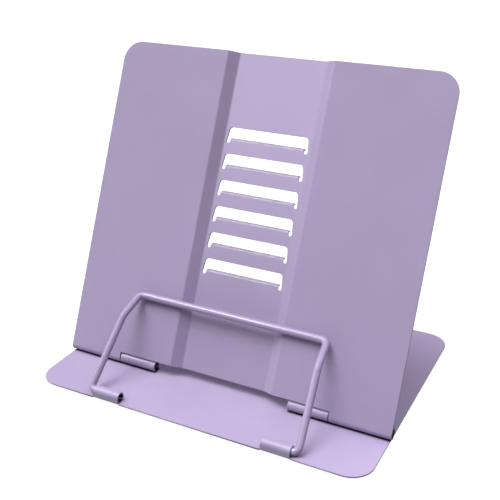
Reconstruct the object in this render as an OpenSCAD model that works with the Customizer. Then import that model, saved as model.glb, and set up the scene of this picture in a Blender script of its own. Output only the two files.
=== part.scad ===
// Folding sheet-metal book stand.
// Origin: centre of the footprint, at desk level. +X to the right,
// +Y to the rear, +Z up. Millimetres.

/* [Sheet] */
// Thickness of both steel sheets
sheet_t = 0.9; // [0.8:0.05:1.1]

/* [Base] */
// Width of the base
base_w = 200; // [190:1:215]
// Depth of the base
base_d = 153.2; // [148:0.2:165]
// Corner radius of the base
base_r = 13; // [8:0.5:18]
// Depth of the shelf in front of the back plate
shelf_d = 33; // [31:0.5:36]
// Thickness of the anti-slip pads
pad_t = 1; // [0.8:0.1:1.6]
// Diameter of the anti-slip pads
pad_dia = 14; // [10:0.5:16]

/* [Back plate] */
// Width of the back plate
plate_w = 201.6; // [190:0.2:215]
// Length of the back plate above the hinge axis
plate_len = 185.6; // [180:0.2:200]
// Lean of the back plate from the horizontal, in degrees
plate_angle = 65.9; // [65:0.1:66.8]
// Radius of the top corners
plate_r = 11.5; // [8:0.5:16]
// Depth of the centre channel
channel_depth = 4; // [3.5:0.1:4.2]
// Half width of the channel at the front face
channel_half = 32.1; // [31.6:0.1:36]
// Sideways run of each sloping channel wall
channel_run = 5.8; // [5:0.1:6.4]
// Height of the plate's lower edge above the hinge axis
plate_foot = 3; // [2.8:0.1:4.4]

/* [Slots] */
// Number of slots
slot_count = 6; // [4:1:7]
// Distance between slots
slot_pitch = 15.1; // [14.5:0.1:15.5]
// Height of the first lip above the hinge axis
slot_first = 62; // [61:0.2:64]
// Open height of a slot above its lip
slot_gap = 6; // [5.5:0.1:6.5]
// Half width of a slot at its lip
slot_half = 24.9; // [22:0.1:25]
// How much narrower each side of a slot is at its top
slot_taper = 0.9; // [0:0.1:1.2]
// Width of the relief slit beside each lip
slit_w = 2.2; // [1.4:0.1:2.4]
// Front radius of the bent lip
lip_r = 2; // [1.8:0.1:2.2]
// Straight part of the lip behind its bend
lip_run = 0.9; // [0.6:0.1:1]

/* [Hinge] */
// Outer radius of the curled hinge barrels
barrel_r = 3; // [2.9:0.05:3]
// Height of the hinge axis above the base sheet
hinge_h = 3.35; // [3.35:0.05:3.6]
// Inner end of a base knuckle, from the middle
knuckle_in = 42.3; // [41:0.1:44]
// Outer end of a base knuckle, from the middle
knuckle_out = 65.7; // [64:0.1:67]
// Length of the strip that holds a knuckle on the base
leaf = 9; // [7:0.5:12]

/* [Page holder] */
// Diameter of the rods
rod_dia = 4; // [3.8:0.1:4]
// Inner end of a front sleeve, from the middle
sleeve_in = 43.3; // [42:0.1:46]
// Outer end of a front sleeve, from the middle
sleeve_out = 59.9; // [58:0.1:60]
// Half width of the page holder at its elbows
holder_foot = 63.3; // [63.2:0.1:65]
// Half width of the page holder at its top bar
holder_head = 58.5; // [55:0.1:60]
// Bend radius of the page holder's top corners
holder_r = 3.8; // [3.5:0.1:6]

/* [Prop] */
// Distance of the prop's pivot behind the hinge axis
prop_back = 75; // [74:0.5:76]
// Half width of the prop at its pivots
prop_foot = 64; // [63.5:0.1:66]
// Half width of the prop at its bar
prop_head = 62; // [58:0.1:63]
// Bend radius of the prop's corners
prop_r = 8; // [6:0.5:10]
// Clearance between the prop's bar and the ends of the lips, as it passes them
prop_gap = 0.7; // [0.6:0.1:1]

/* [Hidden] */
$fn = 64;

lilac = [0.66, 0.60, 0.74];
lilac_light = [0.74, 0.68, 0.83];
steel = [0.62, 0.63, 0.65];
pad_grey = [0.16, 0.16, 0.17];

e = 0.01;
base_top = pad_t + sheet_t;
front_y = -base_d / 2;

// hinge axis: the back plate's front face would meet the base sheet at shelf_d
hinge_z = base_top + hinge_h;
hinge_s = (hinge_h + barrel_r * cos(plate_angle)) / sin(plate_angle);
hinge_y = front_y + shelf_d + hinge_s * cos(plate_angle) + barrel_r * sin(plate_angle);
barrel_in = barrel_r - sheet_t;      // bore of the back plate's barrels
pin_r = barrel_in - 0.05;            // pin, free in the barrels, tight in the knuckles
barrel_start = knuckle_out + 0.45;   // inner end of the back plate's barrels

// rods and their sleeves
rod_r = rod_dia / 2;
sleeve_bore = rod_r + 0.08;
sleeve_h = 2.4;                      // sleeve axis above the base sheet
sleeve_z = base_top + sleeve_h;
sleeve_y = front_y + sleeve_bore + sheet_t;

// page holder, from its sleeve axis: dog-leg and top bar
holder_bend = [30, 32.3];
holder_bar = [45.9, 38.95];

// prop: pivot, and the place of its bar, behind and below the lowest lip
prop_y = hinge_y + prop_back;
prop_z = sleeve_z;
bar_u = slot_first - 5.6;
bar_m = -barrel_r + channel_depth + lip_r + lip_run + prop_gap + rod_r;
bar_y = hinge_y + bar_u * cos(plate_angle) + bar_m * sin(plate_angle);
bar_z = hinge_z + bar_u * sin(plate_angle) - bar_m * cos(plate_angle);
prop_sleeve_in = 44;
prop_sleeve_out = 59.5;

function unit(v) = v / norm(v);
function crossv(a, b) = [a[1] * b[2] - a[2] * b[1], a[2] * b[0] - a[0] * b[2], a[0] * b[1] - a[1] * b[0]];
function turn(a, b, c) = acos(unit(b - a) * unit(c - b));
function trim(a, b, c, r) = r * tan(turn(a, b, c) / 2);

// straight rod from a to b
module straight(a, b, r) {
    d = b - a;
    translate(a)
        rotate([0, acos(d[2] / norm(d)), atan2(d[1], d[0])])
            cylinder(h = norm(d), r = r);
}

// bend of a rod at b, coming from a and leaving to c
module elbow(a, b, c, r, br) {
    v1 = unit(b - a);
    v2 = unit(c - b);
    n = unit(v2 - v1 * (v1 * v2));
    o = b - v1 * trim(a, b, c, br) + n * br;
    x = -n;
    z = crossv(x, v1);
    multmatrix([[x[0], v1[0], z[0], o[0]],
                [x[1], v1[1], z[1], o[1]],
                [x[2], v1[2], z[2], o[2]],
                [0, 0, 0, 1]])
        rotate_extrude(angle = turn(a, b, c)) translate([br, 0]) circle(r = r);
}

// bent rod through points p, with a bend radius at each inner point; the straights
// reach a little way into the bends, which are a hair thinner
module bent_rod(p, br, r) {
    n = len(p);
    lap = 0.3;
    for (i = [0 : n - 2]) {
        d = unit(p[i + 1] - p[i]);
        a = i == 0 ? p[0] : p[i] + d * (trim(p[i - 1], p[i], p[i + 1], br[i - 1]) - lap);
        b = i == n - 2 ? p[n - 1] : p[i + 1] - d * (trim(p[i], p[i + 1], p[i + 2], br[i]) - lap);
        straight(a, b, r);
    }
    for (i = [1 : n - 2])
        elbow(p[i - 1], p[i], p[i + 1], r - 0.03, br[i - 1]);
}

// flat rectangle with round corners, centred
module round_rect(w, d, r) {
    square([w - 2 * r, d], center = true);
    square([w, d - 2 * r], center = true);
    for (x = [-1, 1], y = [-1, 1])
        translate([x * (w / 2 - r), y * (d / 2 - r)]) circle(r = r);
}

// part of a tube along X, in the YZ plane: angle 0 is straight down, 90 is +Y,
// 180 is up and 270 is -Y
module tube_arc(x0, x1, r_in, t, a0, a1) {
    translate([x0, 0, 0]) rotate([0, 90, 0]) rotate([0, 0, a0])
        rotate_extrude(angle = a1 - a0) translate([r_in, 0]) square([t, x1 - x0]);
}

// tab bent up from the sheet and curled over a rod: the riser stands on the -Y side,
// a hair thinner than the curl, which it laps
module curl(x0, x1, r_in, rise, past) {
    g = 0.03;
    tube_arc(x0, x1, r_in, sheet_t, 90 - past, 270);
    translate([x0 + g, -r_in - sheet_t + g, -rise - sheet_t / 2])
        cube([x1 - x0 - 2 * g, sheet_t - 2 * g, rise + sheet_t / 2 + 0.3]);
}

module both_sides() {
    children();
    mirror([1, 0, 0]) children();
}

module base_plate() color(lilac_light) {
    knuckle_bore = pin_r;
    tab = 17;
    difference() {
        translate([0, 0, pad_t]) linear_extrude(sheet_t) round_rect(base_w, base_d, base_r);
        // windows left by the prop's sleeve tabs, in front of them
        both_sides() translate([prop_sleeve_in - 0.5, prop_y - sleeve_bore - sheet_t - tab, 0])
            cube([prop_sleeve_out - prop_sleeve_in + 1, tab, base_top + 1]);
    }
    both_sides() {
        // front sleeves for the page holder
        translate([0, sleeve_y, sleeve_z])
            curl(sleeve_in, sleeve_out, sleeve_bore, sleeve_h, 44);
        // hinge knuckles: strips that lie on the base, rise and curl forward over their pins
        translate([0, hinge_y, hinge_z]) mirror([0, 1, 0])
            curl(knuckle_in, knuckle_out, knuckle_bore, hinge_h, 58);
        translate([knuckle_in, hinge_y + knuckle_bore + 0.2, base_top - 0.1])
            cube([knuckle_out - knuckle_in, sheet_t - 0.2 + leaf, sheet_t + 0.1]);
        // sleeves for the prop
        translate([0, prop_y, prop_z])
            curl(prop_sleeve_in, prop_sleeve_out, sleeve_bore, sleeve_h, 44);
    }
}

// places a shape of the back plate: Y runs up the plate from the hinge axis, +Z is
// the way its front faces
module lean() {
    translate([0, hinge_y, hinge_z]) rotate([plate_angle, 0, 0]) children();
}

// section across the back plate: flanks, sloping walls and channel floor
module plate_section() {
    h = plate_w / 2;
    f = barrel_r;
    b = barrel_r - channel_depth;
    k = sheet_t * tan(atan2(channel_depth, channel_run) / 2);
    polygon([[-h, f], [-channel_half, f], [-channel_half + channel_run, b],
             [channel_half - channel_run, b], [channel_half, f], [h, f],
             [h, f - sheet_t], [channel_half + k, f - sheet_t],
             [channel_half - channel_run + k, b - sheet_t],
             [-channel_half + channel_run - k, b - sheet_t],
             [-channel_half - k, f - sheet_t], [-h, f - sheet_t]]);
}

// outline of the back plate, from the hinge axis up
module plate_outline() {
    h = plate_w / 2;
    translate([-h, 0]) square([plate_w, plate_len - plate_r]);
    translate([-h + plate_r, 0]) square([plate_w - 2 * plate_r, plate_len]);
    for (x = [-1, 1]) translate([x * (h - plate_r), plate_len - plate_r]) circle(r = plate_r);
}

// one slot, with its lip's edge at y = 0: round upper corners, relief slits below
module slot_outline() {
    r = 2.2;
    top = slot_gap;
    low = -lip_r;
    side = slot_half - slot_taper * (top - r - low) / (top - low);
    polygon([[-slot_half, low], [slot_half, low], [side, top - r], [-side, top - r]]);
    translate([-side + r, top - 2 * r]) square([2 * side - 2 * r, 2 * r]);
    for (x = [-1, 1]) {
        translate([x * (side - r), top - r]) circle(r = r);
        translate([x * (slot_half - slit_w / 2), low]) circle(r = slit_w / 2);
    }
}

module back_plate() color(lilac) lean() {
    difference() {
        intersection() {
            translate([0, plate_len, 0]) rotate([90, 0, 0]) linear_extrude(plate_len) plate_section();
            translate([0, 0, -10]) linear_extrude(20) plate_outline();
        }
        // lower edge between the barrels
        translate([-barrel_start, -1, -10]) cube([2 * barrel_start, plate_foot + 1, 20]);
        for (i = [0 : slot_count - 1])
            translate([0, slot_first + i * slot_pitch, -10]) linear_extrude(10) slot_outline();
    }
    // lips, bent rearward
    lw = slot_half - slit_w;
    for (i = [0 : slot_count - 1])
        translate([0, slot_first + i * slot_pitch - lip_r, barrel_r - channel_depth - lip_r]) {
            tube_arc(-lw, lw, lip_r - sheet_t, sheet_t, 90, 180);
            translate([-lw, lip_r - sheet_t, -lip_run]) cube([2 * lw, sheet_t, lip_run + e]);
        }
    // hinge barrels, curled rearward from the feet of the flanks
    both_sides() tube_arc(barrel_start, plate_w / 2, barrel_in, sheet_t, 180, 440);
}

module hinge_pin() color(steel) {
    translate([knuckle_in + 7, hinge_y, hinge_z]) rotate([0, 90, 0]) {
        cylinder(h = plate_w / 2 - 7 - knuckle_in - 7, r = pin_r);
    }
}

module hinge_pin_left() mirror([1, 0, 0]) hinge_pin();
module hinge_pin_right() hinge_pin();

module page_holder() color(lilac_light) translate([0, sleeve_y, sleeve_z]) {
    end = sleeve_in + 7;
    mid = holder_head + 1.6;
    bent_rod([[-end, 0, 0], [-holder_foot, 0, 0],
              [-mid, holder_bend[0], holder_bend[1]], [-holder_head, holder_bar[0], holder_bar[1]],
              [holder_head, holder_bar[0], holder_bar[1]], [mid, holder_bend[0], holder_bend[1]],
              [holder_foot, 0, 0], [end, 0, 0]],
             [3, 6, holder_r, holder_r, 6, 3], rod_r);
}

module prop_bail() color(lilac_light) {
    end = prop_sleeve_in + 3;
    bent_rod([[-end, prop_y, prop_z], [-prop_foot, prop_y, prop_z],
              [-prop_head, bar_y, bar_z], [prop_head, bar_y, bar_z],
              [prop_foot, prop_y, prop_z], [end, prop_y, prop_z]],
             [4, prop_r, prop_r, 4], rod_r);
}

// one anti-slip pad, with a soft edge
module foot(x, y) color(pad_grey) translate([x, y, 0])
    rotate_extrude() polygon([[0, 0], [pad_dia / 2 - 0.3, 0], [pad_dia / 2, 0.3],
                              [pad_dia / 2, pad_t], [0, pad_t]]);

foot_x = base_w / 2 - 14;
foot_y = base_d / 2 - 14;
module foot_front_left() foot(-foot_x, -foot_y);
module foot_front_right() foot(foot_x, -foot_y);
module foot_rear_left() foot(-foot_x, foot_y);
module foot_rear_right() foot(foot_x, foot_y);

base_plate();
back_plate();
hinge_pin_left();
hinge_pin_right();
page_holder();
prop_bail();
foot_front_left();
foot_front_right();
foot_rear_left();
foot_rear_right();
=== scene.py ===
import math

import bpy
import numpy as np
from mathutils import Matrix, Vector
from mathutils.geometry import delaunay_2d_cdt


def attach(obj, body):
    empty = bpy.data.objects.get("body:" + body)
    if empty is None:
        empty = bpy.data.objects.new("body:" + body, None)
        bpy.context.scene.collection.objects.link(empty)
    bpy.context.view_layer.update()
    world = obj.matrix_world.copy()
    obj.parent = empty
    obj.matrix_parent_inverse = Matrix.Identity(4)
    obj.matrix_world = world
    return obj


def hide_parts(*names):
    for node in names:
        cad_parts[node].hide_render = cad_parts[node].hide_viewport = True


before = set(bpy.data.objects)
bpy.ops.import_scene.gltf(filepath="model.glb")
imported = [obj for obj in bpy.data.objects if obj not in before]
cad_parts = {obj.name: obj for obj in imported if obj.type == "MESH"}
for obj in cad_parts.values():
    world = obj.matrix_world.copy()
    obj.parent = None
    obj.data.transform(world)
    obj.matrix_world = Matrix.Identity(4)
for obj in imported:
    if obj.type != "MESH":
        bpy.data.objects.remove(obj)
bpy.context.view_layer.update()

MM = 0.001
DEG = math.pi / 180.0

# ---------------------------------------------------------------- dimensions
T = 0.9                      # sheet
RE = 0.2                     # round on the sheet's edges
PAD_T = 1.0
BASE_W, BASE_D, BASE_R = 200.0, 153.2, 13.0
BASE_Z = PAD_T + T / 2       # middle of the base sheet
FRONT_Y = -BASE_D / 2

LEAN = 65.9 * DEG
SHELF, HINGE_H = 33.0, 3.35  # the plate's front would meet the base SHELF behind its front edge
HINGE_Z = PAD_T + T + HINGE_H
HINGE_Y = FRONT_Y + SHELF + (HINGE_H + 3.0 * math.cos(LEAN)) / math.tan(LEAN) + 3.0 * math.sin(LEAN)
PLATE_W, PLATE_TOP, PLATE_R = 201.6, 185.6, 11.5
BARREL_R = 2.55              # middle of the sheet in a hinge barrel
BARREL_IN = 66.15
BARREL_TURN = 260.0 * DEG
PLATE_FOOT = 3.0

FLOOR_W, FLANK_W = -1.45, 2.55
WALL_SLOPE = math.atan2(4.0, 5.8)
CREASE_IN, CREASE_OUT = 26.44, 32.24
CREASE_R = 2.0

SLOTS = 6
SLOT_FIRST, SLOT_PITCH, SLOT_GAP = 62.0, 15.1, 6.0
SLOT_HALF, SLOT_TAPER, SLIT = 24.9, 0.9, 2.2
LIP_R, LIP_RUN = 1.55, 0.9   # middle of the sheet in a lip's bend
LIP_LEN = LIP_R * math.pi / 2 + LIP_RUN

KNUCKLE = (42.3, 65.7)
LEAF = 9.0                   # strip that holds a knuckle on the base
SLEEVE = (43.3, 59.9)
PROP_SLEEVE = (44.0, 59.5)
SLEEVE_Y, SLEEVE_Z = FRONT_Y + 2.98, 4.3
PROP_Y, PROP_Z = HINGE_Y + 75.0, 4.3
ROOT_R = 0.75                # bend at the root of a tab
ROD_R = 2.0


# ---------------------------------------------------------------- mesh helpers
def new_piece(name, verts, faces, normals=None, **floats):
    me = bpy.data.meshes.new(name)
    me.from_pydata([Vector(v) * MM for v in verts], [], faces)
    me.validate()
    me.polygons.foreach_set("use_smooth", [True] * len(me.polygons))
    for key, values in floats.items():
        att = me.attributes.new(key, "FLOAT", "POINT")
        att.data.foreach_set("value", values)
    me.update()
    if normals is not None:
        me.normals_split_custom_set_from_vertices([Vector(n).normalized() for n in normals])
    ob = bpy.data.objects.new(name, me)
    bpy.context.scene.collection.objects.link(ob)
    return ob


def arc(cx, cy, r, a0, a1, step=9.0):
    n = max(2, int(math.ceil(abs(a1 - a0) / (step * DEG))))
    return [(cx + r * math.cos(a0 + (a1 - a0) * k / n), cy + r * math.sin(a0 + (a1 - a0) * k / n))
            for k in range(n + 1)]


def rounded(points):
    """Closed outline through (x, y, corner radius), corners turned into arcs."""
    out = []
    n = len(points)
    for i in range(n):
        x, y, r = points[i]
        p = Vector((x, y))
        a = Vector(points[i - 1][:2]) - p
        b = Vector(points[(i + 1) % n][:2]) - p
        if r <= 0 or a.length < 1e-6 or b.length < 1e-6:
            out.append((x, y))
            continue
        a.normalize()
        b.normalize()
        half = math.acos(max(-1.0, min(1.0, a.dot(b)))) / 2
        cut = r / math.tan(half)
        c = p + (a + b).normalized() * (r / math.sin(half))
        s, e = p + a * cut, p + b * cut
        a0 = math.atan2(s.y - c.y, s.x - c.x)
        a1 = math.atan2(e.y - c.y, e.x - c.x)
        while a1 - a0 > math.pi:
            a1 -= 2 * math.pi
        while a1 - a0 < -math.pi:
            a1 += 2 * math.pi
        out += arc(c.x, c.y, r, a0, a1, 6.0 if r > 4 else 12.0)
    return out


def tidy(loop):
    out = []
    for p in loop:
        if not out or math.hypot(p[0] - out[-1][0], p[1] - out[-1][1]) > 1e-4:
            out.append(p)
    if math.hypot(out[0][0] - out[-1][0], out[0][1] - out[-1][1]) < 1e-4:
        out.pop()
    return out


def area(loop):
    return 0.5 * sum(loop[i - 1][0] * loop[i][1] - loop[i][0] * loop[i - 1][1] for i in range(len(loop)))


def inset(loop, d):
    """Moves each point by d to the left of the way round, which is the material's side."""
    out = []
    n = len(loop)
    for i in range(n):
        p, q, r = Vector(loop[i - 1]), Vector(loop[i]), Vector(loop[(i + 1) % n])
        e1, e2 = (q - p).normalized(), (r - q).normalized()
        n1, n2 = Vector((-e1.y, e1.x)), Vector((-e2.y, e2.x))
        m = (n1 + n2) / max(0.3, 1 + n1.dot(n2))
        out.append(tuple(q + m * d))
    return out


def inside(points, loop):
    x, y = points[:, 0], points[:, 1]
    hit = np.zeros(len(points), bool)
    lp = np.array(loop)
    for (x0, y0), (x1, y1) in zip(lp, np.roll(lp, -1, 0)):
        cross = (y0 > y) != (y1 > y)
        if y1 != y0:
            hit ^= cross & (x < (x1 - x0) * (y - y0) / (y1 - y0) + x0)
    return hit


def in_bore(p):
    """1 on the inside of a curl, where near-black painted shade goes, 0 elsewhere."""
    near = min(math.hypot(p[1] - y, p[2] - z)
               for y, z in ((HINGE_Y, HINGE_Z), (SLEEVE_Y, SLEEVE_Z), (PROP_Y, PROP_Z)))
    return 1.0 if near < 2.2 else 0.0


def form_sheet(name, outer, holes, lines, grid, form, painted_shade=lambda u, v: 0.0):
    """Sheet of thickness T with round edges. The outlines are the flat pattern's true edges,
    lines are where it needs points because it bends, and form(u, v) gives the place of a point
    of the sheet's middle and its two directions there. The last argument gives, for a point (u, v),
    how much painted shade goes there, in the edges' darker grey."""
    outer = tidy(outer)
    if area(outer) < 0:
        outer.reverse()
    loops = [inset(outer, RE)]
    for h in holes:
        h = tidy(h)
        if area(h) > 0:
            h.reverse()
        loops.append(inset(h, RE))
    pts, edges = [], []
    for lp in loops:
        k = len(pts)
        pts += lp
        edges += [(k + i, k + (i + 1) % len(lp)) for i in range(len(lp))]
    for a, b in lines:
        k = len(pts)
        pts += [a, b]
        edges.append((k, k + 1))
    pts += grid
    v2, _, tris, *_ = delaunay_2d_cdt([Vector(p) for p in pts], edges, [], 0, 1e-5)
    v2 = np.array([(p.x, p.y) for p in v2])
    tris = np.array([t for t in tris if len(t) == 3])
    mid = v2[tris].mean(1)
    keep = inside(mid, loops[0])
    for h in loops[1:]:
        keep &= ~inside(mid, h)
    tris = tris[keep]
    e1, e2 = v2[tris[:, 1]] - v2[tris[:, 0]], v2[tris[:, 2]] - v2[tris[:, 0]]
    turn = e1[:, 0] * e2[:, 1] - e1[:, 1] * e2[:, 0]
    tris = tris[np.abs(turn) > 1e-9]
    turn = turn[np.abs(turn) > 1e-9]
    tris[turn < 0] = tris[turn < 0][:, ::-1]

    used = np.unique(tris)
    new = -np.ones(len(v2), int)
    new[used] = np.arange(len(used))
    v2, tris = v2[used], new[tris]

    n = len(v2)
    place = [form(float(u), float(v)) for u, v in v2]
    P = np.array([p[0] for p in place])
    EU = np.array([p[1] for p in place])
    EV = np.array([p[2] for p in place])
    N = np.cross(EU, EV)
    verts = list(P + N * (T / 2)) + list(P - N * (T / 2))
    norms = list(N) + list(-N)
    # painted shade from the last argument, carried in the edge attribute
    painted_shade_here = [painted_shade(float(u), float(v)) for u, v in v2]
    edge = painted_shade_here * 2
    faces = [tuple(t) for t in tris] + [tuple(int(i) + n for i in t[::-1]) for t in tris]

    follow = {}
    have = set()
    for t in tris:
        for i in range(3):
            have.add((int(t[i]), int(t[(i + 1) % 3])))
    for a, b in have:
        if (b, a) not in have:
            follow[a] = b
    before = {b: a for a, b in follow.items()}
    ring = {}
    turns = [30, 60, 90, -90, -60, -30]
    for i in follow:
        d1 = v2[i] - v2[before[i]]
        d2 = v2[follow[i]] - v2[i]
        d1, d2 = d1 / np.linalg.norm(d1), d2 / np.linalg.norm(d2)
        o1, o2 = np.array((d1[1], -d1[0])), np.array((d2[1], -d2[0]))
        o = (o1 + o2) / max(0.3, 1 + float(o1 @ o2))
        out3 = EU[i] * o[0] + EV[i] * o[1]
        unit3 = out3 / np.linalg.norm(out3)
        ids = [i]
        for a in turns:
            side = 1 if a > 0 else -1
            b = abs(a) * DEG
            centre = P[i] + N[i] * (side * (T / 2 - RE))
            verts.append(centre + RE * (math.cos(b) * side * N[i] + math.sin(b) * out3))
            norms.append(math.cos(b) * side * N[i] + math.sin(b) * unit3)
            edge.append(max(math.sin(b) ** 2, painted_shade_here[i]))
            ids.append(len(verts) - 1)
        ids.append(i + n)
        ring[i] = ids
    for a, b in follow.items():
        ra, rb = ring[a], ring[b]
        for k in range(len(ra) - 1):
            faces.append((ra[k], ra[k + 1], rb[k + 1], rb[k]))
    # edge also carries the painted shade on the lips; the last attribute marks the painted shade inside the curls
    return new_piece(name, verts, faces, norms, edge=edge, bore=[in_bore(p) for p in verts])


# ---------------------------------------------------------------- back plate
def channel_table():
    cut = CREASE_R * math.tan(WALL_SLOPE / 2)
    flat = CREASE_IN - cut
    bend = CREASE_R * WALL_SLOPE
    wall = math.hypot(CREASE_OUT - CREASE_IN, FLANK_W - FLOOR_W) - 2 * cut
    return flat, bend, wall


CH_FLAT, CH_BEND, CH_WALL = channel_table()
CH_END = CH_FLAT + 2 * CH_BEND + CH_WALL                     # developed half width of the channel
CH_X = CREASE_OUT + CREASE_R * math.tan(WALL_SLOPE / 2)
GROW = CH_END - CH_X                                         # developed length less the width


def channel(u):
    """Across the plate: (x, height, slope) at developed distance u from the middle."""
    s, q = (1.0, u) if u >= 0 else (-1.0, -u)
    if q <= CH_FLAT:
        x, w, a = q, FLOOR_W, 0.0
    elif q <= CH_FLAT + CH_BEND:
        a = (q - CH_FLAT) / CREASE_R
        x, w = CH_FLAT + CREASE_R * math.sin(a), FLOOR_W + CREASE_R * (1 - math.cos(a))
    elif q <= CH_FLAT + CH_BEND + CH_WALL:
        a = WALL_SLOPE
        d = q - CH_FLAT - CH_BEND
        x = CH_FLAT + CREASE_R * math.sin(a) + d * math.cos(a)
        w = FLOOR_W + CREASE_R * (1 - math.cos(a)) + d * math.sin(a)
    elif q <= CH_END:
        a = (CH_END - q) / CREASE_R
        x, w = CH_X - CREASE_R * math.sin(a), FLANK_W - CREASE_R * (1 - math.cos(a))
    else:
        x, w, a = CH_X + q - CH_END, FLANK_W, 0.0
    return s * x, w, s * a


CL, SL = math.cos(LEAN), math.sin(LEAN)


def to_world(p):
    return np.array((p[0], p[1] * CL - p[2] * SL, p[1] * SL + p[2] * CL))


def plate_form(u, v):
    x, w, a = channel(u)
    eu = (math.cos(a), 0.0, math.sin(a))
    ev = (0.0, 1.0, 0.0)
    y = v
    if v < 0:
        t = -v / BARREL_R
        y, w = -BARREL_R * math.sin(t), BARREL_R * math.cos(t)
        ev = (0.0, math.cos(t), math.sin(t))
    elif abs(u) < SLOT_HALF - SLIT / 2:
        for i in range(SLOTS):
            s = v - (SLOT_FIRST - 2.0 + i * SLOT_PITCH)
            if 0 <= s < LIP_LEN + 0.3:
                t = min(s / LIP_R, math.pi / 2)
                run = max(0.0, s - LIP_R * math.pi / 2)
                y = v - s + LIP_R * math.sin(t)
                w = FLOOR_W - LIP_R * (1 - math.cos(t)) - run
                ev = (0.0, math.cos(t), -math.sin(t))
    p = to_world((x, y, w)) + np.array((0.0, HINGE_Y, HINGE_Z))
    return p, to_world(eu), to_world(ev)


def make_back_plate():
    h = PLATE_W / 2 + GROW - 0.002
    foot = -BARREL_R * BARREL_TURN
    b = BARREL_IN + GROW
    outer = rounded([(-h, foot, 0.5), (-b, foot, 0.5), (-b, PLATE_FOOT, 0.6), (b, PLATE_FOOT, 0.6),
                     (b, foot, 0.5), (h, foot, 0.5), (h, PLATE_TOP, PLATE_R), (-h, PLATE_TOP, PLATE_R)])
    holes, lines = [], []
    lip = SLOT_HALF - SLIT
    for i in range(SLOTS):
        low = SLOT_FIRST - 2.0 + i * SLOT_PITCH
        top = SLOT_FIRST + SLOT_GAP + i * SLOT_PITCH
        end = low + LIP_LEN
        r = SLIT / 2
        head = SLOT_HALF - SLOT_TAPER
        loop = rounded([(-SLOT_HALF, low, 0), (-head, top, 2.2), (head, top, 2.2), (SLOT_HALF, low, 0)])
        loop += arc(SLOT_HALF - r, low, r, 0.0, -math.pi, 15)
        loop += rounded([(lip, low, 0), (lip, end, 0.6), (-lip, end, 0.6), (-lip, low, 0)])
        loop += arc(-SLOT_HALF + r, low, r, 0.0, -math.pi, 15)
        holes.append(loop)
        for k in range(7):
            v = low + LIP_R * math.pi / 2 * k / 6
            lines.append(((-lip - 0.6, v), (lip + 0.6, v)))
    for s in (-1, 1):
        n = 5
        for k in range(n + 1):
            for q in (CH_FLAT + CH_BEND * k / n, CH_END - CH_BEND * k / n):
                lines.append(((s * q, PLATE_FOOT - 1), (s * q, PLATE_TOP + 1)))
        n = 29
        for k in range(n):
            v = foot * k / n
            lines.append(((s * (b - 0.6), v), (s * (h + 0.6), v)))
    grid = [(s * (CH_END + 3 + 9.0 * i), 8.0 + 10.0 * j) for s in (-1, 1) for i in range(8) for j in range(18)]

    # painted shade: the lips of the slots get the edges' darker grey
    def painted_shade(u, v):
        s = (v - SLOT_FIRST + 2.0) % SLOT_PITCH
        row = 0 <= v - SLOT_FIRST + 2.0 < SLOTS * SLOT_PITCH
        return 0.9 if row and abs(u) <= lip and 0.2 * LIP_R < s < LIP_LEN + 0.3 else 0.0

    return form_sheet("back_sheet", outer, holes, lines, grid, plate_form, painted_shade)


# ---------------------------------------------------------------- base plate
class Tab:
    """Tab at the edge of the base sheet: bent up at its root, then curled over a rod.
    way is +1 where the tab runs to the rear in the flat pattern, -1 where it runs forward."""

    def __init__(self, x0, x1, cy, cz, r, past, way):
        self.x0, self.x1, self.cy, self.cz, self.r, self.way = x0, x1, cy, cz, r, way
        self.root = cy + way * (r - ROOT_R)
        self.rise = cz - BASE_Z - ROOT_R
        self.turn = math.pi + past * DEG
        self.bend = ROOT_R * math.pi / 2
        self.length = self.bend + self.rise + r * self.turn

    def form(self, s):
        """Place in the YZ plane and heading at distance s along the tab."""
        w = self.way
        if s <= self.bend:
            a = s / ROOT_R
            y, z = self.root + w * ROOT_R * math.sin(a), BASE_Z + ROOT_R * (1 - math.cos(a))
            return y, z, w * math.cos(a), math.sin(a)
        if s <= self.bend + self.rise:
            return self.cy + w * self.r, BASE_Z + ROOT_R + s - self.bend, 0.0, 1.0
        a = (s - self.bend - self.rise) / self.r
        return (self.cy + w * self.r * math.cos(a), self.cz + self.r * math.sin(a),
                -w * math.sin(a), math.cos(a))

    def stops(self):
        out = [self.bend * k / 5 for k in range(6)]
        n = int(math.ceil(self.turn / (9 * DEG)))
        out += [self.bend + self.rise + self.r * self.turn * k / n for k in range(n)]
        return out


TABS = [Tab(*SLEEVE, SLEEVE_Y, SLEEVE_Z, 2.08 + T / 2, 44, -1),
        Tab(*PROP_SLEEVE, PROP_Y, PROP_Z, 2.08 + T / 2, 44, -1)]
GAP = 0.3                                                    # slit beside a tab


def base_form(x, y):
    for t in TABS:
        s = (y - t.root) * t.way
        if 0 <= s < t.length + 0.5 and t.x0 - GAP / 2 < abs(x) < t.x1 + GAP / 2:
            py, pz, hy, hz = t.form(s)
            return (np.array((x, py, pz)), np.array((1.0, 0.0, 0.0)),
                    np.array((0.0, hy, hz)) * t.way)
    return np.array((x, y, BASE_Z)), np.array((1.0, 0.0, 0.0)), np.array((0.0, 1.0, 0.0))


def window(t, far):
    """Opening left by a tab inside the sheet, with the tab standing in it in the flat pattern."""
    w, r = t.way, GAP / 2
    end = t.root + w * t.length
    a, b = t.x0 - GAP, t.x1 + GAP
    loop = rounded([(a, t.root, 0), (a, far, 1.0), (b, far, 1.0), (b, t.root, 0)])
    turn = -math.pi if w > 0 else math.pi
    loop += arc(t.x1 + r, t.root, r, 0.0, turn, 20)
    loop += rounded([(t.x1, t.root, 0), (t.x1, end, 0.7), (t.x0, end, 0.7), (t.x0, t.root, 0)])
    loop += arc(t.x0 - r, t.root, r, 0.0, turn, 20)
    return loop


def mirrored(loop):
    return [(-x, y) for x, y in loop]


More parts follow.
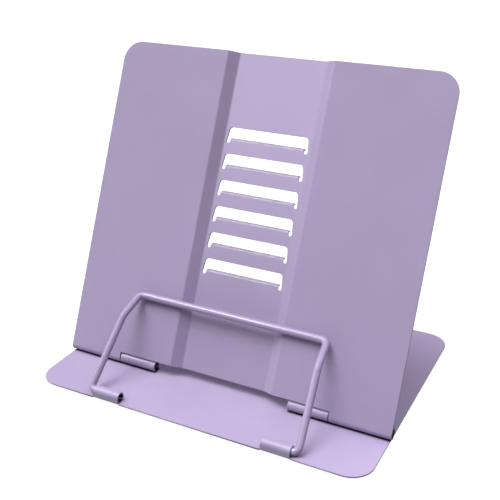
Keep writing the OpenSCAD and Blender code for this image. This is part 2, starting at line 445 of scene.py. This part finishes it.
def make_base_plate():
    h = BASE_W / 2
    t = TABS[0]
    end = t.root - t.length
    r = GAP / 2

    def front_tab(s):
        """The front edge's points at one sleeve's tab, from left to right."""
        part = [(t.x0 - GAP, FRONT_Y)]
        part += arc(t.x0 - r, t.root, r, math.pi, 0.0, 20)
        part += rounded([(t.x0, t.root, 0), (t.x0, end, 0.7), (t.x1, end, 0.7), (t.x1, t.root, 0)])
        part += arc(t.x1 + r, t.root, r, math.pi, 0.0, 20)
        part += [(t.x1 + GAP, FRONT_Y)]
        return part if s > 0 else mirrored(part)[::-1]

    c = BASE_R
    outer = arc(-h + c, FRONT_Y + c, c, math.pi, 1.5 * math.pi, 5)
    outer += front_tab(-1) + front_tab(1)
    outer += arc(h - c, FRONT_Y + c, c, 1.5 * math.pi, 2 * math.pi, 5)
    outer += arc(h - c, -FRONT_Y - c, c, 0.0, 0.5 * math.pi, 5)
    outer += arc(-h + c, -FRONT_Y - c, c, 0.5 * math.pi, math.pi, 5)
    holes, lines = [], []
    w = window(TABS[1], PROP_Y - 2.98 - 17.0)
    holes += [w, mirrored(w)]
    for tab in TABS:
        for s in tab.stops():
            y = tab.root + tab.way * s
            for side in (-1, 1):
                lines.append(((side * (tab.x0 - GAP / 2), y), (side * (tab.x1 + GAP / 2), y)))
    grid = [(-91.0 + 13.0 * i, -70.0 + 12.0 * j) for i in range(15) for j in range(12)]
    grid = [(x, y) for x, y in grid
            if not any(tb.x0 - 3 < abs(x) < tb.x1 + 3 and -3 < (y - tb.root) * tb.way < 20 for tb in TABS)]
    return form_sheet("base_sheet", outer, holes, lines, grid, base_form)


def make_knuckle(name, side):
    """Strip spot-welded to the base: it lies on the sheet, rises and curls forward over its pin."""
    r, root = 2.05 + T / 2, 1.2
    z = PAD_T + T + T / 2
    rear = HINGE_Y + 2.05 + T + LEAF
    flat = rear - (HINGE_Y + r + root)
    bend = root * math.pi / 2
    rise = HINGE_Z - z - root
    turn = math.pi + 58 * DEG
    x0, x1 = KNUCKLE
    spots = [(x0 + 6.0, 4.2), (x1 - 6.0, 4.2)]

    def form(x, s):
        ex = np.array((1.0, 0.0, 0.0))
        if s <= flat:
            dip = 0.0
            for sx, sy in spots:
                d = math.hypot(abs(x) - sx, s - sy)
                if d < 1.9:
                    dip = 0.28 * (1 + math.cos(math.pi * max(0.0, d - 0.9))) / 2
            return np.array((x, rear - s, z - dip)), ex, np.array((0.0, -1.0, 0.0))
        if s <= flat + bend:
            a = (s - flat) / root
            return (np.array((x, HINGE_Y + r + root - root * math.sin(a), z + root * (1 - math.cos(a)))), ex,
                    np.array((0.0, -math.cos(a), math.sin(a))))
        if s <= flat + bend + rise:
            return (np.array((x, HINGE_Y + r, z + root + s - flat - bend)), ex, np.array((0.0, 0.0, 1.0)))
        a = (s - flat - bend - rise) / r
        return (np.array((x, HINGE_Y + r * math.cos(a), HINGE_Z + r * math.sin(a))), ex,
                np.array((0.0, -math.sin(a), math.cos(a))))

    end = flat + bend + rise + r * turn
    outer = rounded([(x0, 0.0, 1.2), (x1, 0.0, 1.2), (x1, end, 0.4), (x0, end, 0.4)])
    stops = [flat + bend * k / 5 for k in range(6)]
    stops += [flat + bend + rise + r * turn * k / 28 for k in range(28)]
    lines = [((x0 - 0.5, s), (x1 + 0.5, s)) for s in stops]
    grid = [(sx, sy) for sx, sy in spots]
    for sx, sy in spots:
        for d in (0.5, 0.9, 1.15, 1.4, 1.65, 1.9):
            grid += [(sx + d * math.cos(k * math.pi / 10), sy + d * math.sin(k * math.pi / 10)) for k in range(20)]
    if side < 0:
        outer, grid = mirrored(outer), mirrored(grid)
        lines = [((-a[0], a[1]), (-b[0], b[1])) for a, b in lines]
    ob = form_sheet(name, outer, [], lines, grid, form)
    return ob


# ---------------------------------------------------------------- rods, pins, pads
def rod_path(points, radii, step=5.0):
    pts = [Vector(p) for p in points]
    out = [pts[0]]
    for i in range(1, len(pts) - 1):
        a, b, c, r = pts[i - 1], pts[i], pts[i + 1], radii[i - 1]
        v1, v2 = (b - a).normalized(), (c - b).normalized()
        turn = v1.angle(v2)
        cut = r * math.tan(turn / 2)
        nrm = (v2 - v1 * v1.dot(v2)).normalized()
        o = b - v1 * cut + nrm * r
        n = max(3, int(math.ceil(turn / (step * DEG))))
        for k in range(n + 1):
            t = turn * k / n
            out.append(o - nrm * (r * math.cos(t)) + v1 * (r * math.sin(t)))
    out.append(pts[-1])
    return out


def sweep(name, path, r, seg=28, end=0.45):
    """Round rod along a path, with its ends' edges rounded."""
    tang = []
    n = len(path)
    for i in range(n):
        a, b = path[max(0, i - 1)], path[min(n - 1, i + 1)]
        tang.append((b - a).normalized())
    side = Vector((0, 0, 1)) if abs(tang[0].z) < 0.9 else Vector((0, 1, 0))
    side = (side - tang[0] * side.dot(tang[0])).normalized()
    verts, norms, edge, rings = [], [], [], []

    def ring(c, t, s, rad, along, ew):
        u = t.cross(s)
        ids = []
        for k in range(seg):
            a = 2 * math.pi * k / seg
            d = s * math.cos(a) + u * math.sin(a)
            verts.append(c + d * rad)
            norms.append(d * math.sqrt(max(0.0, 1 - along * along)) + t * along)
            edge.append(ew)
            ids.append(len(verts) - 1)
        rings.append(ids)

    def cap(c, t, s, way):
        rows = [(0.0, 90), (0.0, 60), (0.0, 30)]
        for _, a in (rows if way < 0 else rows[::-1]):
            b = a * DEG
            rad = r - end + end * math.cos(b)
            ring(c - t * (way * (end - end * math.sin(b))), t, s, rad, way * math.sin(b), math.sin(2 * b))

    sides = []
    for i in range(n):
        if i:
            side = (side - tang[i] * side.dot(tang[i])).normalized()
        sides.append(side.copy())
    cap(path[0], tang[0], sides[0], -1)
    for i in range(n):
        c = path[i]
        if i == 0:
            c = c + tang[0] * end
        if i == n - 1:
            c = c - tang[-1] * end
        ring(c, tang[i], sides[i], r, 0.0, 0.0)
    cap(path[-1], tang[-1], sides[-1], 1)
    faces = []
    for a, b in zip(rings, rings[1:]):
        for k in range(seg):
            j = (k + 1) % seg
            faces.append((a[k], a[j], b[j], b[k]))
    for ids, c, t, w in ((rings[0], path[0], tang[0], -1), (rings[-1], path[-1], tang[-1], 1)):
        verts.append(c)
        norms.append(t * w)
        edge.append(0.0)
        m = len(verts) - 1
        for k in range(seg):
            j = (k + 1) % seg
            faces.append((m, ids[k], ids[j]) if w > 0 else (m, ids[j], ids[k]))
    return new_piece(name, verts, faces, norms, edge=edge)


def make_page_holder():
    rel = [(-50.3, 0, 0), (-63.3, 0, 0), (-60.1, 30.0, 32.3), (-58.5, 45.9, 38.95)]
    rel += [(-x, y, z) for x, y, z in rel[::-1]]
    pts = [(x, y + SLEEVE_Y, z + SLEEVE_Z) for x, y, z in rel]
    return sweep("holder_rod", rod_path(pts, [3, 6, 3.8, 3.8, 6, 3]), ROD_R)


def make_prop():
    u, m = SLOT_FIRST - 5.6, 6.6                             # the bar, up the plate and behind its hinge axis
    rel = [(-47, PROP_Y, PROP_Z), (-64, PROP_Y, PROP_Z), (-62, HINGE_Y + u * CL + m * SL, HINGE_Z + u * SL - m * CL)]
    rel += [(-x, y, z) for x, y, z in rel[::-1]]
    return sweep("prop_rod", rod_path(rel, [4, 8, 8, 4]), ROD_R)


def make_pin(name, s):
    a, b = Vector((49.3 * s, HINGE_Y, HINGE_Z)), Vector(((PLATE_W / 2 - 7.0) * s, HINGE_Y, HINGE_Z))
    return sweep(name, [a, a.lerp(b, 0.5), b], 2.05, 28, 0.5)


def make_pad(name, x, y):
    """Anti-slip disc: rounded rim and two shallow rings pressed into its underside."""
    prof = [(0.0, 0.0), (2.0, 0.0), (2.15, 0.12), (2.6, 0.12), (2.75, 0.0), (4.4, 0.0), (4.55, 0.12),
            (5.0, 0.12), (5.15, 0.0)]
    prof += [(6.6 + 0.4 * math.sin(a * DEG), 0.4 - 0.4 * math.cos(a * DEG)) for a in (0, 22, 45, 68, 90)]
    prof += [(7.0, 0.85), (6.95, 0.96), (6.85, 1.0), (0.0, 1.0)]
    seg = 56
    verts, faces, rings = [], [], []
    for r, z in prof:
        if r == 0.0:
            verts.append((x, y, z))
            rings.append([len(verts) - 1])
        else:
            rings.append([len(verts) + k for k in range(seg)])
            verts += [(x + r * math.cos(2 * math.pi * k / seg), y + r * math.sin(2 * math.pi * k / seg), z)
                      for k in range(seg)]
    for a, b in zip(rings, rings[1:]):
        for k in range(seg):
            j = (k + 1) % seg
            if len(a) == 1:
                faces.append((a[0], b[j], b[k]))
            elif len(b) == 1:
                faces.append((b[0], a[k], a[j]))
            else:
                faces.append((a[k], a[j], b[j], b[k]))
    ob = new_piece(name, verts, faces)
    ob.data.set_sharp_from_angle(angle=35 * DEG)
    return ob


# ---------------------------------------------------------------- materials
def material(name):
    m = bpy.data.materials.new(name)
    m.use_nodes = True
    nt = m.node_tree
    bsdf = nt.nodes["Principled BSDF"] if "Principled BSDF" in nt.nodes else None
    if bsdf is None:
        nt.nodes.clear()
        out = nt.nodes.new("ShaderNodeOutputMaterial")
        bsdf = nt.nodes.new("ShaderNodeBsdfPrincipled")
        nt.links.new(bsdf.outputs[0], out.inputs[0])
    return m, nt, bsdf


def noise(nt, coord, scale, detail=2.0, rough=0.5):
    n = nt.nodes.new("ShaderNodeTexNoise")
    n.inputs["Scale"].default_value = scale
    n.inputs["Detail"].default_value = detail
    n.inputs["Roughness"].default_value = rough
    nt.links.new(coord, n.inputs["Vector"])
    return n.outputs["Fac"]


def ranged(nt, value, lo, hi, a=0.3, b=0.7):
    m = nt.nodes.new("ShaderNodeMapRange")
    m.inputs["From Min"].default_value = a
    m.inputs["From Max"].default_value = b
    m.inputs["To Min"].default_value = lo
    m.inputs["To Max"].default_value = hi
    nt.links.new(value, m.inputs["Value"])
    return m.outputs["Result"]


def mixed(nt, fac, a, b):
    m = nt.nodes.new("ShaderNodeMix")
    m.data_type = "RGBA"
    for sock, val in ((m.inputs["Factor"], fac), (m.inputs["A"], a), (m.inputs["B"], b)):
        if isinstance(val, (tuple, float)):
            sock.default_value = (*val, 1.0) if isinstance(val, tuple) else val
        else:
            nt.links.new(val, sock)
    return m.outputs["Result"]


def math_node(nt, op, a, b):
    m = nt.nodes.new("ShaderNodeMath")
    m.operation = op
    for sock, val in ((m.inputs[0], a), (m.inputs[1], b)):
        if isinstance(val, float):
            sock.default_value = val
        else:
            nt.links.new(val, sock)
    return m.outputs[0]


def powder_coat(name, colour, rough, painted_light_panel=None, painted_shade_strips=()):
    """Satin powder coat: fine orange peel, faint cloudiness, greyer and darker cut edges, which are partly a
    thinner coat and partly painted shade, and a near-black painted shade inside the curls. The panel argument
    is (half width, low, high, gain): painted light, a middle panel made lighter, which comes in between two heights.
    Each strip in the argument after it is (y, half width, inner x, outer x, top): near-black painted shade there,
    under the barrels and curls."""
    m, nt, bsdf = material(name)
    co = nt.nodes.new("ShaderNodeTexCoord").outputs["Object"]
    cloud = noise(nt, co, 22.0, 3.0, 0.55)
    peel = noise(nt, co, 620.0, 2.0, 0.5)
    grain = noise(nt, co, 2300.0, 1.0, 0.5)
    dark = tuple(c * 0.965 for c in colour)
    light = tuple(min(1.0, c * 1.03) for c in colour)
    body = mixed(nt, ranged(nt, cloud, 0.0, 1.0), dark, light)
    axes = nt.nodes.new("ShaderNodeSeparateXYZ")
    nt.links.new(co, axes.inputs["Vector"])
    att = nt.nodes.new("ShaderNodeAttribute")
    att.attribute_name = "edge"
    # painted light: the channel's floor is made lighter towards the top
    if painted_light_panel:
        half, low, high, gain = painted_light_panel
        across = ranged(nt, math_node(nt, "ABSOLUTE", axes.outputs["X"], 0.0), 1.0, 0.0, half - 0.0008, half + 0.0004)
        up = ranged(nt, axes.outputs["Z"], 0.0, 1.0, low, high)
        full = math_node(nt, "MULTIPLY", up, ranged(nt, att.outputs["Fac"], 1.0, 0.0))
        body = mixed(nt, math_node(nt, "MULTIPLY", across, full), body, tuple(min(1.0, c * gain) for c in colour))
    speck = mixed(nt, ranged(nt, grain, 0.0, 0.10, 0.45, 0.75), body, tuple(c * 0.80 for c in colour))
    # edges greyer and darker: partly a thinner coat, partly painted shade; on the slots' lips it is all painted shade
    wear_and_shade = math_node(nt, "MULTIPLY", att.outputs["Fac"], ranged(nt, noise(nt, co, 260.0, 3.0), 0.15, 0.75))
    cut = tuple(0.35 * c + 0.05 for c in colour)
    # painted shade: near-black inside the curls, a little mottled
    bore = nt.nodes.new("ShaderNodeAttribute")
    bore.attribute_name = "bore"
    curl_shade_mottle = ranged(nt, noise(nt, co, 320.0, 3.0), 0.86, 1.0)
    shade = math_node(nt, "MULTIPLY", bore.outputs["Fac"], curl_shade_mottle)
    # painted shade: near-black strips on the base under the barrels and the curls of the sleeves
    for mid, half, inner, outer, top in painted_shade_strips:
        off_y = math_node(nt, "ABSOLUTE", math_node(nt, "SUBTRACT", axes.outputs["Y"], mid), 0.0)
        near = ranged(nt, off_y, 1.0, 0.0, half - 0.0006, half + 0.0006)
        off_x = math_node(nt, "ABSOLUTE", axes.outputs["X"], 0.0)
        along = math_node(nt, "MULTIPLY", ranged(nt, off_x, 0.0, 1.0, inner - 0.0005, inner + 0.0001),
                          ranged(nt, off_x, 1.0, 0.0, outer - 0.0001, outer + 0.0005))
        under = ranged(nt, axes.outputs["Z"], 1.0, 0.0, top, top + 0.0002)
        shade = math_node(nt, "MAXIMUM", shade, math_node(nt, "MULTIPLY", near, math_node(nt, "MULTIPLY", along, under)))
    # the near-black mixed in here is the painted shade inside the curls and in the strips under them
    nt.links.new(mixed(nt, shade, mixed(nt, wear_and_shade, speck, cut), (0.022, 0.020, 0.024)), bsdf.inputs["Base Color"])
    nt.links.new(ranged(nt, noise(nt, co, 75.0, 4.0, 0.6), rough - 0.05, rough + 0.06), bsdf.inputs["Roughness"])
    height = math_node(nt, "ADD", math_node(nt, "MULTIPLY", peel, 0.65), math_node(nt, "MULTIPLY", grain, 0.35))
    bump = nt.nodes.new("ShaderNodeBump")
    bump.inputs["Strength"].default_value = 0.35
    bump.inputs["Distance"].default_value = 0.00006
    nt.links.new(height, bump.inputs["Height"])
    nt.links.new(bump.outputs["Normal"], bsdf.inputs["Normal"])
    bsdf.inputs["Specular IOR Level"].default_value = 0.5
    return m


def pin_steel(name):
    """Turned steel: fine rings round the pin, a few darker streaks."""
    m, nt, bsdf = material(name)
    tc = nt.nodes.new("ShaderNodeTexCoord").outputs["Object"]
    mp = nt.nodes.new("ShaderNodeMapping")
    mp.inputs["Scale"].default_value = (3200.0, 90.0, 90.0)
    nt.links.new(tc, mp.inputs["Vector"])
    lines = noise(nt, mp.outputs["Vector"], 1.0, 3.0, 0.6)
    nt.links.new(mixed(nt, ranged(nt, lines, 0.0, 1.0), (0.42, 0.42, 0.43), (0.62, 0.62, 0.63)),
                 bsdf.inputs["Base Color"])
    nt.links.new(ranged(nt, lines, 0.26, 0.45), bsdf.inputs["Roughness"])
    bsdf.inputs["Metallic"].default_value = 1.0
    bump = nt.nodes.new("ShaderNodeBump")
    bump.inputs["Strength"].default_value = 0.3
    bump.inputs["Distance"].default_value = 0.00003
    nt.links.new(lines, bump.inputs["Height"])
    nt.links.new(bump.outputs["Normal"], bsdf.inputs["Normal"])
    return m


def pad_rubber(name):
    m, nt, bsdf = material(name)
    co = nt.nodes.new("ShaderNodeTexCoord").outputs["Object"]
    grain = noise(nt, co, 1500.0, 3.0, 0.6)
    dust = noise(nt, co, 160.0, 4.0, 0.6)
    nt.links.new(mixed(nt, ranged(nt, dust, 0.0, 1.0), (0.018, 0.018, 0.020), (0.045, 0.044, 0.047)),
                 bsdf.inputs["Base Color"])
    nt.links.new(ranged(nt, grain, 0.62, 0.85), bsdf.inputs["Roughness"])
    bump = nt.nodes.new("ShaderNodeBump")
    bump.inputs["Strength"].default_value = 0.5
    bump.inputs["Distance"].default_value = 0.0001
    nt.links.new(grain, bump.inputs["Height"])
    nt.links.new(bump.outputs["Normal"], bsdf.inputs["Normal"])
    return m


LILAC = (0.340, 0.280, 0.437)
# height up to which the base gets near-black painted shade under the barrels and the sleeves' curls
PAINTED_SHADE_TOP = (PAD_T + T + 0.25) * MM
base_paint = powder_coat("lilac_base", LILAC, 0.44, painted_shade_strips=[
    (HINGE_Y * MM, 0.0022, KNUCKLE[0] * MM, BASE_W / 2 * MM, PAINTED_SHADE_TOP),
    ((SLEEVE_Y + 0.4) * MM, 0.0017, SLEEVE[0] * MM, SLEEVE[1] * MM, PAINTED_SHADE_TOP),
    ((PROP_Y + 0.4) * MM, 0.0017, PROP_SLEEVE[0] * MM, PROP_SLEEVE[1] * MM, PAINTED_SHADE_TOP)])
# painted light: the channel's floor is made lighter towards the top, between two heights
back_paint = powder_coat("lilac_back", LILAC, 0.44,
                         painted_light_panel=(CREASE_IN * MM, 0.050, 0.130, 1.26))
rod_paint = powder_coat("lilac_rod", LILAC, 0.22)
steel = pin_steel("pin_steel")
rubber = pad_rubber("pad_rubber")


def place(ob, mat, body, node, slot):
    ob.data.materials.append(mat)
    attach(ob, body)
    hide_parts(node)


place(make_back_plate(), back_paint, "back", "back_plate", "sheet")
place(make_base_plate(), base_paint, "base", "base_plate", "sheet")
for hand, side in (("left", -1), ("right", 1)):
    place(make_knuckle(f"knuckle_{hand}", side), base_paint, "base", "base_plate", "sheet")
place(make_page_holder(), rod_paint, "holder", "page_holder", "rod")
place(make_prop(), rod_paint, "prop", "prop_bail", "rod")
place(make_pin("pin_left", -1), steel, "base", "hinge_pin_left", "pin")
place(make_pin("pin_right", 1), steel, "base", "hinge_pin_right", "pin")
for end, sy in (("front", -1), ("rear", 1)):
    for hand, sx in (("left", -1), ("right", 1)):
        place(make_pad(f"pad_{end}_{hand}", 86.0 * sx, 62.6 * sy), rubber, "base", f"foot_{end}_{hand}", "pad")

# ---------------------------------------------------------------- stage, light, camera
scene = bpy.context.scene
scene.view_settings.view_transform = "Standard"
scene.view_settings.look = "None"

ring = [(math.cos(i * math.pi / 32), math.sin(i * math.pi / 32)) for i in range(64)]
sweep = [(3.0, 0.0), (3.6, 0.05), (4.2, 0.22), (4.7, 0.52), (5.1, 0.95), (5.35, 1.5), (5.45, 2.2), (5.45, 6.0)]
me = bpy.data.meshes.new("floor")                            # round floor that sweeps up into a wall
me.from_pydata([(r * c, r * s, z) for r, z in sweep for c, s in ring], [],
               [tuple(range(64))] + [(64 * k + i, 64 * k + (i + 1) % 64, 64 * k + 64 + (i + 1) % 64, 64 * k + 64 + i)
                                     for k in range(len(sweep) - 1) for i in range(64)])
floor = bpy.data.objects.new("floor", me)
scene.collection.objects.link(floor)
fm, fnt, fb = material("floor_paper")
fco = fnt.nodes.new("ShaderNodeTexCoord").outputs["Object"]
fnt.links.new(mixed(fnt, ranged(fnt, noise(fnt, fco, 3.0, 2.0), 0.0, 1.0), (0.13, 0.13, 0.13), (0.15, 0.15, 0.15)),
              fb.inputs["Base Color"])
fb.inputs["Roughness"].default_value = 0.9
fb.inputs["Specular IOR Level"].default_value = 0.1
fb.inputs["Emission Color"].default_value = (1.0, 1.0, 1.0, 1.0)
fb.inputs["Emission Strength"].default_value = 0.93          # white paper lit from below: there is no shadow on it
floor.data.materials.append(fm)
floor.visible_diffuse = False                                # what it throws back is the light named bounce
floor.visible_glossy = False
floor.visible_shadow = False

world = bpy.data.worlds.new("studio")
scene.world = world
world.use_nodes = True
bg = world.node_tree.nodes.get("Background") or world.node_tree.nodes.new("ShaderNodeBackground")
bg.inputs["Color"].default_value = (1.0, 1.0, 1.0, 1.0)
bg.inputs["Strength"].default_value = 0.06


def far_softbox(name, azimuth, height, spread, power, glint=False):
    """Distant soft light. Azimuth 0 is in front of the stand, 90 on its right; angles are in degrees.
    The highlights come from two small lights, the rest from large ones without highlights."""
    la = bpy.data.lights.new(name, "SUN")
    la.energy = power
    la.angle = spread * DEG
    ob = bpy.data.objects.new(name, la)
    ob.rotation_euler = ((90.0 - height) * DEG, 0.0, azimuth * DEG)
    ob.visible_glossy = glint
    ob.visible_diffuse = not glint
    scene.collection.objects.link(ob)
    return ob


far_softbox("key", 303, 66, 38, 2.08)
far_softbox("front", 336, 65, 36, 1.50)
far_softbox("side", 280, 44, 40, 0.50)
far_softbox("top", 225, 76, 34, 0.35)
far_softbox("right_top", 60, 78, 34, 0.45)
far_softbox("right_rear", 130, 61, 26, 0.90)
far_softbox("rear", 150, 36, 40, 1.10)
far_softbox("bounce", 328, -26, 60, 1.10)                      # from the pale floor in front of the stand
far_softbox("rear_bounce", 172, -24, 60, 1.20)                 # and behind it
far_softbox("glint", 300, 58, 20, 2.20, glint=True)
far_softbox("low_glint", 285, 20, 24, 0.55, glint=True)

cam = bpy.data.cameras.new("camera")
cam.lens = 60.29
cam.sensor_width = 36.0
cam.clip_start, cam.clip_end = 0.01, 50.0
cob = bpy.data.objects.new("camera", cam)
cob.location = (0.19533, -0.38526, 0.26634)
cob.rotation_euler = (65.83 * DEG, 0.0, 27.02 * DEG)
scene.collection.objects.link(cob)
scene.camera = cob
